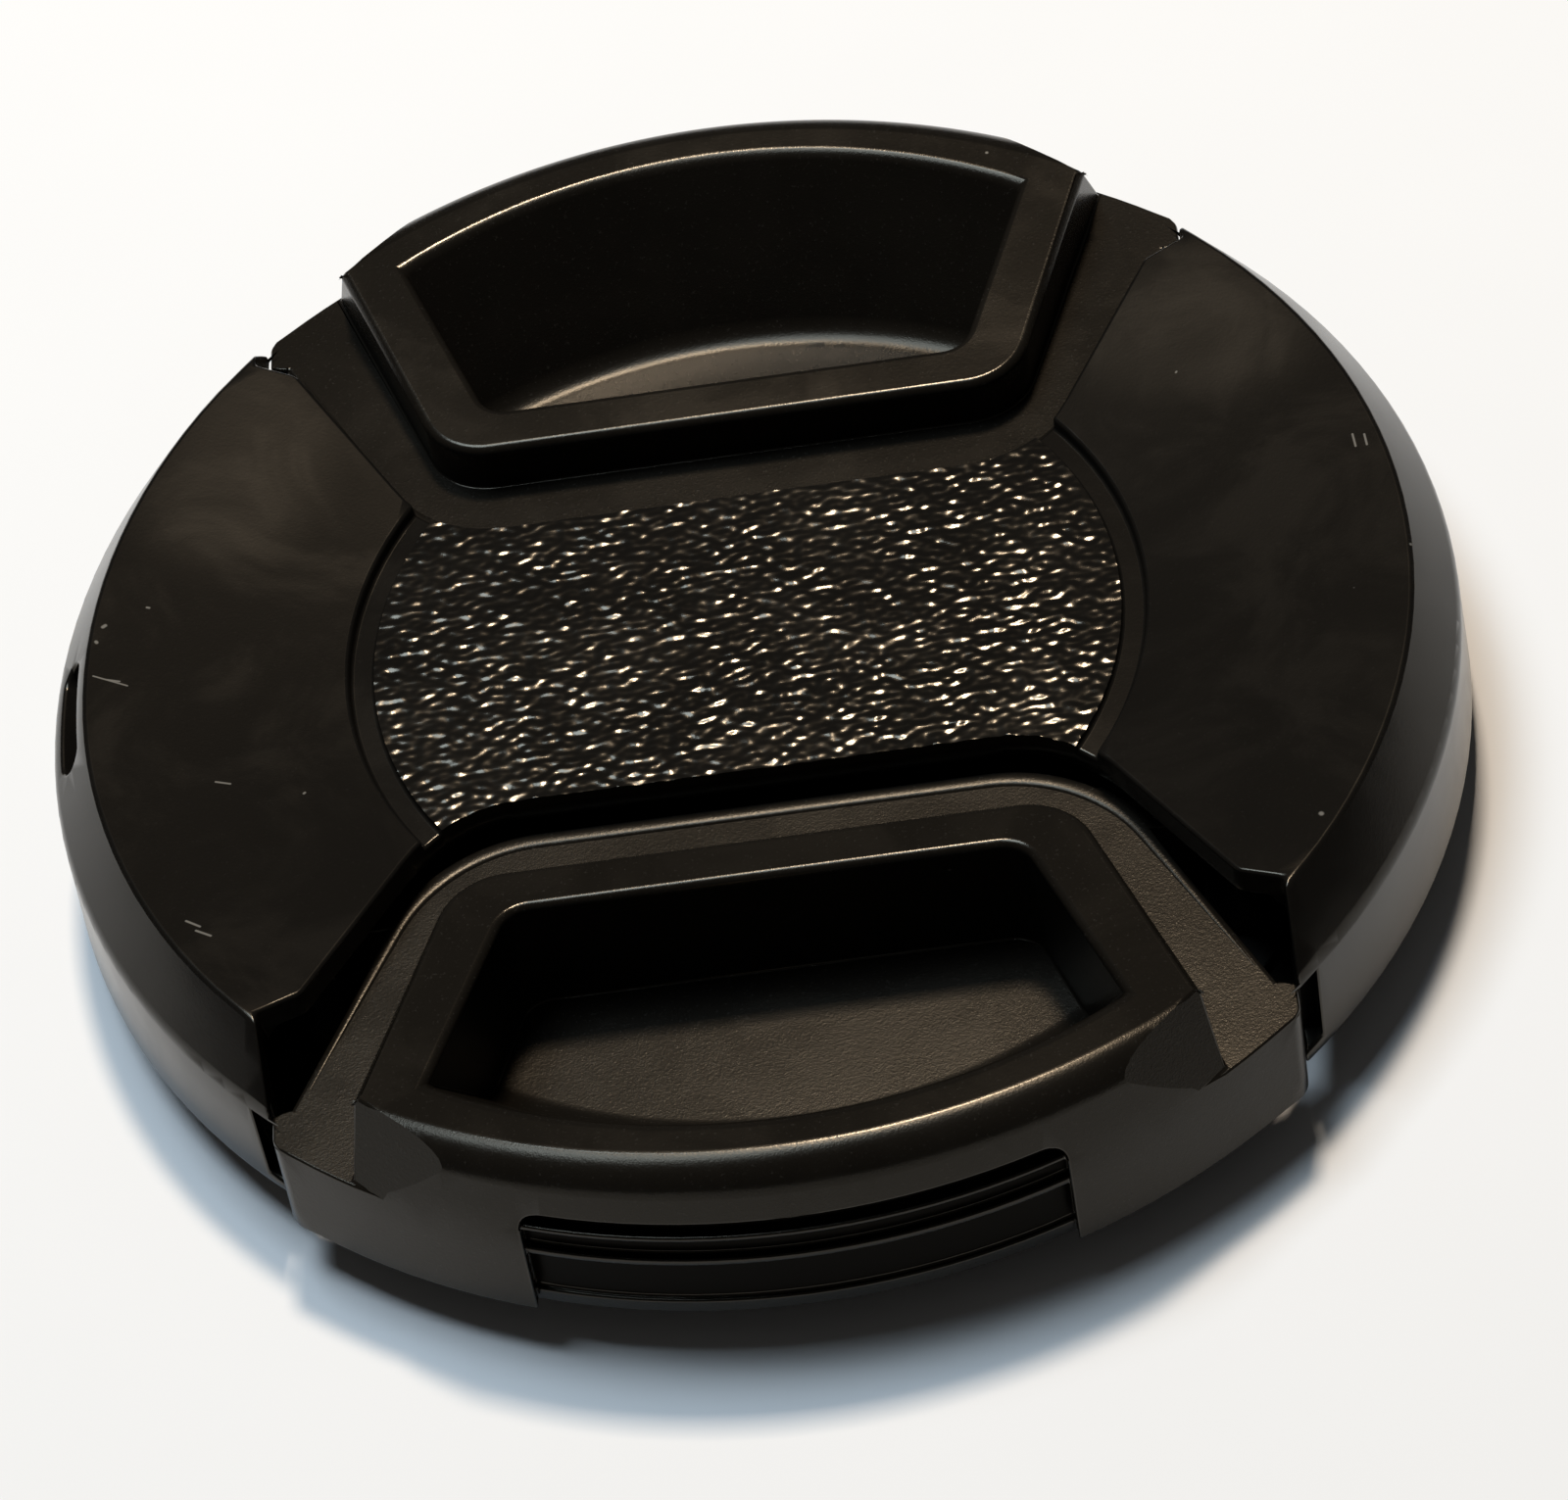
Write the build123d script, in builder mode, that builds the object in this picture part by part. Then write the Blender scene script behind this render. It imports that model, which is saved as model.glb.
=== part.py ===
"""Centre-pinch lens cap for a 52 mm filter thread.

Millimetres, +Z up. The cap lies on its lens side with its face up, and the origin is in the middle of the plane
that it rests on. Y is the pinch direction: front_grip is on the -Y side and rear_grip on the +Y side.
"""

import os
from math import cos, radians, sin, sqrt, tan

from build123d import *

os.makedirs("parts", exist_ok=True)

# Lens side: the skirt that enters the filter ring
thread_diameter = 52.0
thread_pitch = 0.75
skirt_inset = 0.7
skirt_depth = 2.3
skirt_wall = 1.2
seat_width = 2.0
seat_thickness = 1.2

# Outer wall, bevel and dished face of the front moulding
wall_height = 4.6
wall_draft = 0.25
wall_thickness = 1.6
bevel_height = 2.5
bevel_inset = 1.75
dish_depth = 1.15
face_thickness = 1.3
bevel_foot_round = 1.2

# Round panel with its raised grained pad
panel_radius = 15.7
panel_step = 0.5
pad_margin = 0.97
pad_height = 0.25
bridge_thickness = 1.0

# Notches that leave the bridge and the two side lobes
bridge_width = 14.5
notch_root_width = 24.1
notch_angle = 31.0
notch_corner_radius = 5.0
lobe_end_x = 19.15
lobe_tip_inset = 0.35
lobe_tip_drop = 0.75
lobe_tip_round = 0.8
lobe_rebate = 0.75
rebate_depth = 0.9
rebate_lip = 0.4
rebate_foot = 0.6

# Slot for a leash in the bevel
leash_slot_length = 5.4
leash_slot_width = 1.4

# Grip: flange and outer wall
travel = 1.6
grip_top_gap = 0.35
flange_inset = 0.5
flange_root_width = 25.56
flange_angle = 25.7
flange_corner_radius = 6.5
flange_thickness = 1.1
flange_edge_round = 0.25
grip_end_gap = 0.15
grip_foot_gap = 0.1
grip_foot_overhang = 0.9
grip_flange_overhang = 0.45
grip_wall = 1.6
shoulder_rise = 2.2
shoulder_inset = 0.5
rim_inset = 0.45

# Grip: frame around the finger pocket
bar_face_y = 11.1
bar_width = 2.1
bar_rise = 2.15
frame_tilt = 4.4
frame_root_width = 23.4
frame_angle = 20.0
frame_corner_radius = 2.8
frame_edge_round = 0.35
facet_start_x = 12.0
facet_azimuth = 47.0
facet_slope = 28.0

# Grip: finger pocket with its sloping outer wall
pocket_root_width = 19.5
pocket_angle = 20.5
pocket_corner_radius = 1.3
pocket_floor = 0.7
rim_width = 2.1
scoop_run = 4.4
scoop_foot_round = 1.5

# Grip: ribbed window in the outer wall
window_width = 20.0
window_top_rise = 1.05
window_depth = 0.6
window_corner_radius = 0.9
rib_height = 0.5
rib_drops = (0.75, 2.15)
rib_widths = (0.25, 0.35)
foot_rib_width = 0.7

# Grip: toothed lug that snaps into the filter thread
lug_width = 24.0
lug_thickness = 1.0
lug_inset = 0.05
lug_ground_gap = 0.2
tooth_height = 0.35
tooth_count = 2

# Back plate, and the bosses and pegs that hold it
plate_gap = 0.3
plate_thickness = 1.0
plate_side_gap = 0.3
boss_y = 12.5
boss_radius = 1.2
peg_radius = 0.8
peg_gap = 0.05
ear_width = 2.4
ear_overhang = 1.0
ear_step = 0.5
stop_gap = 0.3
running_gap = 0.35

# Springs between the middle rib and the ears of the grips
spring_x = 15.9
spring_radius = 1.2
spring_wire = 0.3
spring_turns = 4
spring_end_gap = 0.05
spring_lift = 1.8
spine_width = 2.4
spine_end = 0.6
spigot_length = 1.2
spigot_gap = 0.2

# Radii and heights that follow from the sizes above
thread_radius = thread_diameter / 2
skirt_radius = thread_radius - skirt_inset
skirt_inner = skirt_radius - skirt_wall
seat_radius = thread_radius + seat_width
bevel_foot_radius = seat_radius - wall_draft
bevel_top_radius = bevel_foot_radius - bevel_inset
pad_radius = panel_radius - pad_margin
bevel_foot_z = skirt_depth + wall_height
face_z = bevel_foot_z + bevel_height
panel_edge_z = face_z - dish_depth
margin_z = panel_edge_z - panel_step
pad_z = margin_z + pad_height
bridge_under_z = margin_z - bridge_thickness
dish_slope = dish_depth / (bevel_top_radius - panel_radius)

bridge_y = bridge_width / 2
flange_z = bridge_under_z - grip_top_gap
flange_y = bridge_y + flange_inset
flange_root_x = flange_root_width / 2
grip_end_x = lobe_end_x - grip_end_gap
grip_foot_z = skirt_depth + grip_foot_gap
grip_foot_radius = seat_radius + grip_foot_overhang
grip_flange_radius = seat_radius + grip_flange_overhang
shoulder_radius = grip_flange_radius - shoulder_inset
shoulder_z = flange_z + shoulder_rise
rim_radius = shoulder_radius - rim_inset
bar_top_z = flange_z + bar_rise
rim_z = bar_top_z + (rim_radius - bar_face_y) * tan(radians(frame_tilt))
pocket_y = bar_face_y + bar_width
floor_z = grip_foot_z + pocket_floor
scoop_top_radius = rim_radius - rim_width
scoop_foot_radius = scoop_top_radius - scoop_run
window_top_z = flange_z + window_top_rise
lug_crest = thread_radius - lug_inset
lug_root = lug_crest - tooth_height
lug_inner = lug_root - lug_thickness

plate_top_z = grip_foot_z - plate_gap
plate_z = plate_top_z - plate_thickness
plate_radius = skirt_inner - plate_side_gap
spring_z = plate_top_z + spring_lift
spine_y = spine_width / 2
flange_lean = tan(radians(flange_angle))
boss_reach = (boss_radius + running_gap) / cos(radians(flange_angle))
boss_x = flange_root_x + (boss_y + travel - flange_y) * flange_lean + boss_reach
ear_y = boss_y - boss_radius - stop_gap
ear_face_y = ear_y - ear_width
ear_end_x = boss_x + ear_overhang
beyond = 2 * seat_radius


def flared_outline(plane, root_width, root_y, angle, corner_radius):
    """Outline with a straight inner edge at root_y and two sides that lean outwards, open past the cap's edge."""
    spread = root_width / 2 + (beyond - root_y) * tan(radians(angle))
    with BuildSketch(plane) as outline:
        with BuildLine():
            Polyline(
                (-root_width / 2, root_y),
                (root_width / 2, root_y),
                (spread, beyond),
                (-spread, beyond),
                close=True,
            )
        make_face()
        fillet(outline.vertices().group_by(Axis.Y)[0], corner_radius)
    return outline.sketch


# Cutter for one notch: the flared opening in the face, the wider one in the wall with a rebate at each end,
# and a gap in the skirt for the lug
with BuildPart() as notch:
    tip_y = sqrt((bevel_top_radius - lobe_tip_inset) ** 2 - lobe_end_x**2)
    heel_y = tip_y - lobe_tip_drop
    heel_x = notch_root_width / 2 + (heel_y - bridge_y) * tan(radians(notch_angle))
    with BuildSketch(Plane.XY.offset(bridge_under_z)) as opening:
        with BuildLine():
            Polyline(
                (-notch_root_width / 2, bridge_y),
                (notch_root_width / 2, bridge_y),
                (heel_x, heel_y),
                (lobe_end_x, tip_y),
                (lobe_end_x, beyond),
                (-lobe_end_x, beyond),
                (-lobe_end_x, tip_y),
                (-heel_x, heel_y),
                close=True,
            )
        make_face()
        fillet(opening.vertices().group_by(Axis.Y)[0], notch_corner_radius)
        fillet(opening.vertices().filter_by_position(Axis.Y, heel_y - 0.01, heel_y + 0.01), lobe_tip_round)
    extrude(amount=beyond)
    with BuildSketch(Plane.XY.offset(plate_top_z)):
        with Locations((0, bridge_y)):
            Rectangle(2 * lobe_end_x, beyond, align=(Align.CENTER, Align.MIN))
    extrude(amount=bridge_under_z - plate_top_z)
    with BuildSketch(Plane.XY.offset(skirt_depth + rebate_foot)):
        with Locations((0, bridge_y)):
            Rectangle(2 * (lobe_end_x + lobe_rebate), beyond, align=(Align.CENTER, Align.MIN))
        Circle(seat_radius - rebate_depth, mode=Mode.SUBTRACT)
    extrude(amount=wall_height - rebate_lip - rebate_foot)
    with BuildSketch(Plane.XY):
        with Locations((0, bridge_y)):
            Rectangle(lug_width + 2 * running_gap, beyond, align=(Align.CENTER, Align.MIN))
    extrude(amount=plate_top_z)

# Front moulding: a turned section, less the two notches and the leash slot
with BuildPart() as front_shell:
    with BuildSketch(Plane.XZ) as section:
        hollow_r = bevel_top_radius - bridge_thickness
        panel_wall_r = panel_radius + face_thickness
        with BuildLine():
            Polyline(
                (0, pad_z),
                (pad_radius, pad_z),
                (pad_radius, margin_z),
                (panel_radius, margin_z),
                (panel_radius, panel_edge_z),
                (bevel_top_radius, face_z),
                (bevel_foot_radius, bevel_foot_z),
                (seat_radius, skirt_depth),
                (skirt_radius, skirt_depth),
                (skirt_radius, 0),
                (skirt_inner, 0),
                (skirt_inner, skirt_depth + seat_thickness),
                (seat_radius - wall_thickness, skirt_depth + seat_thickness),
                (bevel_foot_radius - wall_thickness, bevel_foot_z),
                (hollow_r, face_z - bridge_thickness * dish_slope - face_thickness),
                (panel_wall_r, panel_edge_z + face_thickness * dish_slope - face_thickness),
                (panel_radius, bridge_under_z),
                (0, bridge_under_z),
                close=True,
            )
        make_face()
        fillet(section.vertices().sort_by_distance((bevel_foot_radius, bevel_foot_z))[0], bevel_foot_round)
    revolve(axis=Axis.Z)
    with PolarLocations(0, 2):
        add(notch.part, mode=Mode.SUBTRACT)

    # Leash slot, square to the bevel on the -X side
    bevel_middle = ((bevel_foot_radius + bevel_top_radius) / 2, (bevel_foot_z + face_z) / 2)
    slot_plane = Plane(
        origin=(-bevel_middle[0], 0, bevel_middle[1]),
        x_dir=(0, 1, 0),
        z_dir=(-bevel_height, 0, bevel_inset),
    )
    with BuildSketch(slot_plane):
        SlotOverall(leash_slot_length, leash_slot_width)
    extrude(amount=2 * wall_thickness, both=True, mode=Mode.SUBTRACT)

    # Spine under the bridge that the springs push against, with a spigot for each spring
    with BuildSketch(Plane.XY.offset(plate_top_z)):
        Rectangle(2 * (spring_x + spring_radius + spine_end), spine_width)
    extrude(amount=bridge_under_z + bridge_thickness / 2 - plate_top_z)
    with BuildSketch(Plane.XZ):
        with Locations((-spring_x, spring_z), (spring_x, spring_z)):
            Circle(spring_radius - spring_wire - spigot_gap)
    extrude(amount=spine_y + spigot_length, both=True)

    # Bosses that carry the back plate, ending in pegs that are flush with its lens side
    with BuildSketch(Plane.XY.offset(plate_top_z)):
        with GridLocations(2 * boss_x, 2 * boss_y, 2, 2):
            Circle(boss_radius)
    extrude(until=Until.NEXT)
    with BuildSketch(Plane.XY.offset(plate_z)):
        with GridLocations(2 * boss_x, 2 * boss_y, 2, 2):
            Circle(peg_radius)
    extrude(amount=plate_thickness)

# Cutter for the finger pocket: leaning sides, and an outer wall that slopes down to the floor
with BuildPart() as pocket:
    pocket_plane = Plane.XY.offset(floor_z)
    extrude(
        flared_outline(pocket_plane, pocket_root_width, pocket_y, pocket_angle, pocket_corner_radius),
        amount=beyond,
    )
    with BuildSketch(Plane.XZ) as scoop:
        rise = rim_z - floor_z
        with BuildLine():
            Polyline(
                (0, floor_z),
                (scoop_foot_radius, floor_z),
                (scoop_top_radius + scoop_run, rim_z + rise),
                (0, rim_z + rise),
                close=True,
            )
        make_face()
        fillet(scoop.vertices().sort_by_distance((scoop_foot_radius, floor_z))[0], scoop_foot_round)
    revolve(axis=Axis.Z, mode=Mode.INTERSECT)

# Cutter for the ribbed window, open at the foot of the wall
with BuildPart() as window:
    with BuildSketch(Plane.XZ) as recess:
        with BuildLine():
            Polyline(
                (grip_foot_radius - window_depth, grip_foot_z),
                (grip_flange_radius - window_depth, flange_z),
                (shoulder_radius - window_depth, shoulder_z),
                (beyond, shoulder_z),
                (beyond, grip_foot_z),
                close=True,
            )
        make_face()
        for drop, width in zip(rib_drops, rib_widths):
            with Locations((0, window_top_z - drop)):
                Rectangle(
                    grip_flange_radius - window_depth + rib_height,
                    width,
                    align=(Align.MIN, Align.CENTER),
                    mode=Mode.SUBTRACT,
                )
        with Locations((0, grip_foot_z)):
            Rectangle(
                grip_flange_radius,
                foot_rib_width,
                align=(Align.MIN, Align.MIN),
                mode=Mode.SUBTRACT,
            )
    revolve(axis=Axis.Z)
    with BuildSketch(Plane.XZ):
        with Locations((0, window_top_z)):
            RectangleRounded(
                window_width,
                2 * window_top_z,
                window_corner_radius,
                align=(Align.CENTER, Align.MAX),
            )
    extrude(amount=-beyond, mode=Mode.INTERSECT)

# Lug with two rows of thread teeth
with BuildPart() as lug:
    with BuildSketch(Plane.XZ):
        tooth_points = []
        for tooth in range(tooth_count):
            tooth_z = lug_ground_gap + tooth * thread_pitch
            tooth_points.append((lug_root, tooth_z))
            tooth_points.append((lug_crest, tooth_z + thread_pitch / 2))
        tooth_points.append((lug_root, lug_ground_gap + tooth_count * thread_pitch))
        with BuildLine():
            Polyline(
                (lug_inner, lug_ground_gap),
                *tooth_points,
                (lug_root, grip_foot_z + pocket_floor),
                (lug_inner, grip_foot_z + pocket_floor),
                close=True,
            )
        make_face()
    revolve(axis=Axis.Z)
    with BuildSketch(Plane.XY):
        Rectangle(lug_width, beyond, align=(Align.CENTER, Align.MIN))
    extrude(amount=beyond, mode=Mode.INTERSECT)

# Pinch grip, modelled on the +Y side
with BuildPart() as rear_grip:
    # Frame block, cut by its tilted top and by a facet at each outer corner
    foot_plane = Plane.XY.offset(grip_foot_z)
    extrude(
        flared_outline(foot_plane, frame_root_width, bar_face_y, frame_angle, frame_corner_radius),
        amount=beyond,
    )
    with BuildSketch(Plane.YZ):
        top_slope = tan(radians(frame_tilt))
        with BuildLine():
            Polyline(
                (0, bar_top_z - bar_face_y * top_slope),
                (beyond, bar_top_z + (beyond - bar_face_y) * top_slope),
                (beyond, 2 * beyond),
                (0, 2 * beyond),
                close=True,
            )
        make_face()
    extrude(amount=beyond, both=True, mode=Mode.SUBTRACT)
    for side in (-1, 1):
        facet_y = sqrt(rim_radius**2 - facet_start_x**2)
        facet_level = cos(radians(facet_slope))
        facet_plane = Plane(
            origin=(side * facet_start_x, facet_y, bar_top_z + (facet_y - bar_face_y) * top_slope),
            z_dir=(
                side * facet_level * cos(radians(facet_azimuth)),
                facet_level * sin(radians(facet_azimuth)),
                sin(radians(facet_slope)),
            ),
        )
        with BuildSketch(facet_plane):
            Rectangle(beyond, beyond)
        extrude(amount=beyond, mode=Mode.SUBTRACT)

    # Flange that slides under the bridge and the lobes, with an ear at each side that meets its stop and its spring
    flange_plane = Plane.XY.offset(flange_z - flange_thickness)
    with BuildSketch(flange_plane):
        add(flared_outline(Plane.XY, flange_root_width, flange_y, flange_angle, flange_corner_radius))
        Rectangle(2 * grip_end_x, 2 * beyond, mode=Mode.INTERSECT)
    extrude(amount=flange_thickness)
    fillet(rear_grip.edges().group_by(Axis.Y)[0].sort_by(Axis.Z)[-1], flange_edge_round)
    with BuildSketch(flange_plane):
        with Locations((0, ear_y)):
            Rectangle(2 * ear_end_x, ear_width, align=(Align.CENTER, Align.MAX))
    extrude(amount=flange_thickness - ear_step)
    with BuildSketch(foot_plane):
        with Locations((0, ear_y)):
            Rectangle(2 * ear_end_x, ear_width, align=(Align.CENTER, Align.MAX))
        Rectangle(2 * (spring_x - spring_radius - spine_end), beyond, mode=Mode.SUBTRACT)
    extrude(amount=flange_z - flange_thickness - grip_foot_z)

    # Outer wall between the lobe ends
    with BuildSketch(foot_plane):
        Circle(beyond)
        Circle(grip_flange_radius - grip_wall, mode=Mode.SUBTRACT)
        Rectangle(2 * grip_end_x, beyond, align=(Align.CENTER, Align.MIN), mode=Mode.INTERSECT)
    extrude(amount=flange_z - grip_foot_z)

    # Turned outside of the grip
    with BuildSketch(Plane.XZ):
        with BuildLine():
            Polyline(
                (0, grip_foot_z),
                (grip_foot_radius, grip_foot_z),
                (grip_flange_radius, flange_z),
                (shoulder_radius, shoulder_z),
                (rim_radius, rim_z),
                (rim_radius, beyond),
                (0, beyond),
                close=True,
            )
        make_face()
    revolve(axis=Axis.Z, mode=Mode.INTERSECT)

    add(pocket.part, mode=Mode.SUBTRACT)
    fillet(rear_grip.faces().sort_by(Axis.Z)[-1].edges(), frame_edge_round)
    add(window.part, mode=Mode.SUBTRACT)
    add(lug.part)

    # Spigots for the spring ends on the ears
    with BuildSketch(Plane.XZ.offset(-ear_face_y)):
        with Locations((-spring_x, spring_z), (spring_x, spring_z)):
            Circle(spring_radius - spring_wire - spigot_gap)
    extrude(amount=spigot_length)

with BuildPart() as front_grip:
    add(rear_grip.part, rotation=(0, 0, 180))

# Back plate, cut back where the lugs come in when the grips are pinched
with BuildPart() as back_plate:
    with BuildSketch(Plane.XY.offset(plate_z)):
        Circle(plate_radius)
    extrude(amount=plate_thickness)
    for side in (-1, 1):
        with BuildSketch(Plane.XY.offset(plate_z)):
            with Locations((0, side * beyond / 2)):
                Rectangle(lug_width + 2 * running_gap, beyond)
            with Locations((0, -side * travel)):
                Circle(lug_inner - running_gap, mode=Mode.SUBTRACT)
        extrude(amount=plate_thickness, mode=Mode.SUBTRACT)
    with BuildSketch(Plane.XY.offset(plate_z)):
        with GridLocations(2 * boss_x, 2 * boss_y, 2, 2):
            Circle(peg_radius + peg_gap)
    extrude(amount=plate_thickness, mode=Mode.SUBTRACT)

# One coil spring on the +X, +Y side, from the spine to the grip's ear
with BuildPart() as rear_spring_right:
    coil_radius = spring_radius - spring_wire / 2
    coil_start = spine_y + spring_end_gap + spring_wire / 2
    coil_length = ear_face_y - spring_end_gap - spring_wire / 2 - coil_start
    with BuildLine() as coil:
        Helix(
            pitch=coil_length / spring_turns,
            height=coil_length,
            radius=coil_radius,
            center=(spring_x, coil_start, spring_z),
            direction=(0, 1, 0),
        )
    with BuildSketch(Plane(origin=coil.line @ 0, z_dir=coil.line % 0)):
        RegularPolygon(spring_wire / 2, 4)
    sweep(path=coil.line, is_frenet=True)

with BuildPart() as rear_spring_left:
    with Locations((-2 * spring_x, 0, 0)):
        add(rear_spring_right.part)

with BuildPart() as front_spring_left:
    add(rear_spring_right.part, rotation=(0, 0, 180))

with BuildPart() as front_spring_right:
    add(rear_spring_left.part, rotation=(0, 0, 180))

front_shell.part.label = "front_shell"
front_grip.part.label = "front_grip"
rear_grip.part.label = "rear_grip"
back_plate.part.label = "back_plate"
front_spring_left.part.label = "front_spring_left"
front_spring_right.part.label = "front_spring_right"
rear_spring_left.part.label = "rear_spring_left"
rear_spring_right.part.label = "rear_spring_right"

export_step(front_shell.part, "parts/front_shell.step")
export_step(front_grip.part, "parts/front_grip.step")
export_step(rear_grip.part, "parts/rear_grip.step")
export_step(back_plate.part, "parts/back_plate.step")
export_step(front_spring_left.part, "parts/front_spring_left.step")
export_step(front_spring_right.part, "parts/front_spring_right.step")
export_step(rear_spring_left.part, "parts/rear_spring_left.step")
export_step(rear_spring_right.part, "parts/rear_spring_right.step")
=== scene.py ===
"""Looks of a black centre-pinch lens cap.

Mouldings with rounded edges, a grained pad, coil springs and a pale table.
Metres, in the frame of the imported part: +Z out of the cap's face, Y along the pinch.
"""

import math

import bpy
from bpy.props import FloatProperty, FloatVectorProperty, IntProperty, PointerProperty
from mathutils import Matrix, Vector


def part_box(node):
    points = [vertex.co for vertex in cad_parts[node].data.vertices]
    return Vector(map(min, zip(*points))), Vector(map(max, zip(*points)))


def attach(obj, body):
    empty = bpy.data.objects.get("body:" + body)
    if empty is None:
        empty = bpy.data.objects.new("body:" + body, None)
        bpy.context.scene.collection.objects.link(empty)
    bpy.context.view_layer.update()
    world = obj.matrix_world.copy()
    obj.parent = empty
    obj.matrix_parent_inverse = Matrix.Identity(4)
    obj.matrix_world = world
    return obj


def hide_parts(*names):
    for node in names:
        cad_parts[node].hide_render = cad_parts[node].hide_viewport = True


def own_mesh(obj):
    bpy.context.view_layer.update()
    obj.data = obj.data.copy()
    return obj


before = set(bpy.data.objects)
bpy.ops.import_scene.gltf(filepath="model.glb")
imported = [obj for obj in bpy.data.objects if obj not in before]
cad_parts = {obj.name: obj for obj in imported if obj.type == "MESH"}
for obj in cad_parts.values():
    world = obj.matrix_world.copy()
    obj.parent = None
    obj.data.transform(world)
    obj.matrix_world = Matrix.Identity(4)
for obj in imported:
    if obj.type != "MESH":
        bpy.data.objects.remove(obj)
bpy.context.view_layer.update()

bl_info = {
    "name": "Centre-pinch lens cap",
    "version": (1, 0, 0),
    "blender": (4, 5, 0),
    "location": "View3D > Sidebar > Lens cap",
    "description": "Dresses the packed lens cap with rounded edges, moulded grain and wear",
    "category": "Object",
}

MM = 0.001

# Edges that turn by more than SHARP are rounded; shading runs on over turns below the other two
SHARP = math.radians(32)
SMOOTH = math.radians(35)
SMOOTH_FINE = math.radians(50)

# The pad's skin: how far the shell's own face sinks, how deep the skin reaches, and its border
PAD_SINK = 0.16 * MM
PAD_DEPTH = 0.45 * MM
PAD_BORDER_ROUND = 0.14 * MM
SHEET_DEPTH = 0.6 * MM
SHEET_MARGIN = 0.3 * MM

# Lengths of the grips are in millimetres. The frame's tilted top passes through FRAME_Y and FRAME_Z
FRAME_TILT = math.radians(4.4)
FRAME_Y = 11.1
FRAME_Z = 8.55
FLANGE_Z = 6.4

# The rim's radius, and how much it loses per millimetre of height
RIM_RADIUS = 27.96
RIM_LEAN = 0.45 / 1.21

# The outer wall below and above the flange: radius, the height it has it at, and loss per height
WALL_BELOW = (28.9, 2.4, 0.1125)
WALL_ABOVE = (28.45, FLANGE_Z, 0.227)

# The wings reach further out from WING_START on; their inner corner is cut in rows of x and move
WING_START = 18.97
WING_REACH = 0.125
WING_CUT = ((18.5, 0.08), (18.75, 0.38), (19.125, 0.8))
WING_CUT_Y = (18.9, 19.5)
WING_CUT_Z = 6
WING_CORNER = (19.1, 21.1)
WING_CORNER_ROUND = 0.45

# The lip on the flange, and where along Y it ends and begins to fade
LIP_HALF_WIDTH = 0.35
LIP_HEIGHT = 0.1
LIP_END = 18.6
LIP_FADE_START = 9.5
LIP_FADE_LENGTH = 9.1

# The ribbed window in the outer wall
WINDOW_HALF_WIDTH = 10.05
WINDOW_Z = (3, 7.46)
WINDOW_RADIUS = 26.5
WINDOW_DEPTH = 0.3

# Normal of the corner facets, up to the signs of x and y
FACET = (0.602, 0.6457, 0.4695)

# The springs: the mesh of the wire
WIRE_SIDES = 10
STEPS_PER_TURN = 28


class ShellSettings(bpy.types.PropertyGroup):
    """Front moulding and its grained pad."""

    edge_round: FloatProperty(
        name="Edge round",
        description="Width of the rounding on the moulded edges",
        default=0.16 * MM,
        min=0,
        unit="LENGTH",
    )
    colour: FloatVectorProperty(
        name="Colour",
        description="Colour of the satin black plastic",
        default=(0.0048, 0.0043, 0.0037),
        min=0,
        max=1,
        subtype="COLOR",
    )
    roughness: FloatProperty(
        name="Roughness",
        description="Mean roughness of the satin finish",
        default=0.2,
        min=0,
        max=1,
        subtype="FACTOR",
    )
    grain_cell: FloatProperty(
        name="Pad grain size",
        description="Spacing of the pebbles in the pad's grain",
        default=0.33 * MM,
        min=0.1 * MM,
        unit="LENGTH",
    )
    grain_stretch: FloatProperty(
        name="Pad grain stretch",
        description="Length of the pebbles along the bridge, in widths",
        default=1.7,
        min=1,
    )
    grain_height: FloatProperty(
        name="Pad grain height",
        description="Height of the pebbles in the pad's grain",
        default=0.08 * MM,
        min=0,
        unit="LENGTH",
    )
    grain_step: FloatProperty(
        name="Pad mesh step",
        description="Spacing of the points that carry the pad's grain",
        default=0.085 * MM,
        min=0.05 * MM,
        unit="LENGTH",
    )


class GripSettings(bpy.types.PropertyGroup):
    """The two pinch grips."""

    edge_round: FloatProperty(
        name="Edge round",
        description="Width of the rounding on the moulded edges",
        default=0.1 * MM,
        min=0,
        unit="LENGTH",
    )
    frame_round: FloatProperty(
        name="Frame round",
        description="Width of the rounding around the top of each grip's frame",
        default=0.35 * MM,
        min=0,
        unit="LENGTH",
    )
    rim_round: FloatProperty(
        name="Rim round",
        description="Width of the full rounding along the outer rim of each grip",
        default=1.1 * MM,
        min=0,
        unit="LENGTH",
    )
    colour: FloatVectorProperty(
        name="Colour",
        description="Colour of the spark-eroded black plastic",
        default=(0.0068, 0.0057, 0.0044),
        min=0,
        max=1,
        subtype="COLOR",
    )
    roughness: FloatProperty(
        name="Roughness",
        description="Mean roughness of the spark-eroded finish",
        default=0.25,
        min=0,
        max=1,
        subtype="FACTOR",
    )
    speckle: FloatProperty(
        name="Speckle",
        description="Depth of the fine sand-like grain",
        default=0.35,
        min=0,
        max=1,
        subtype="FACTOR",
    )


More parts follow.
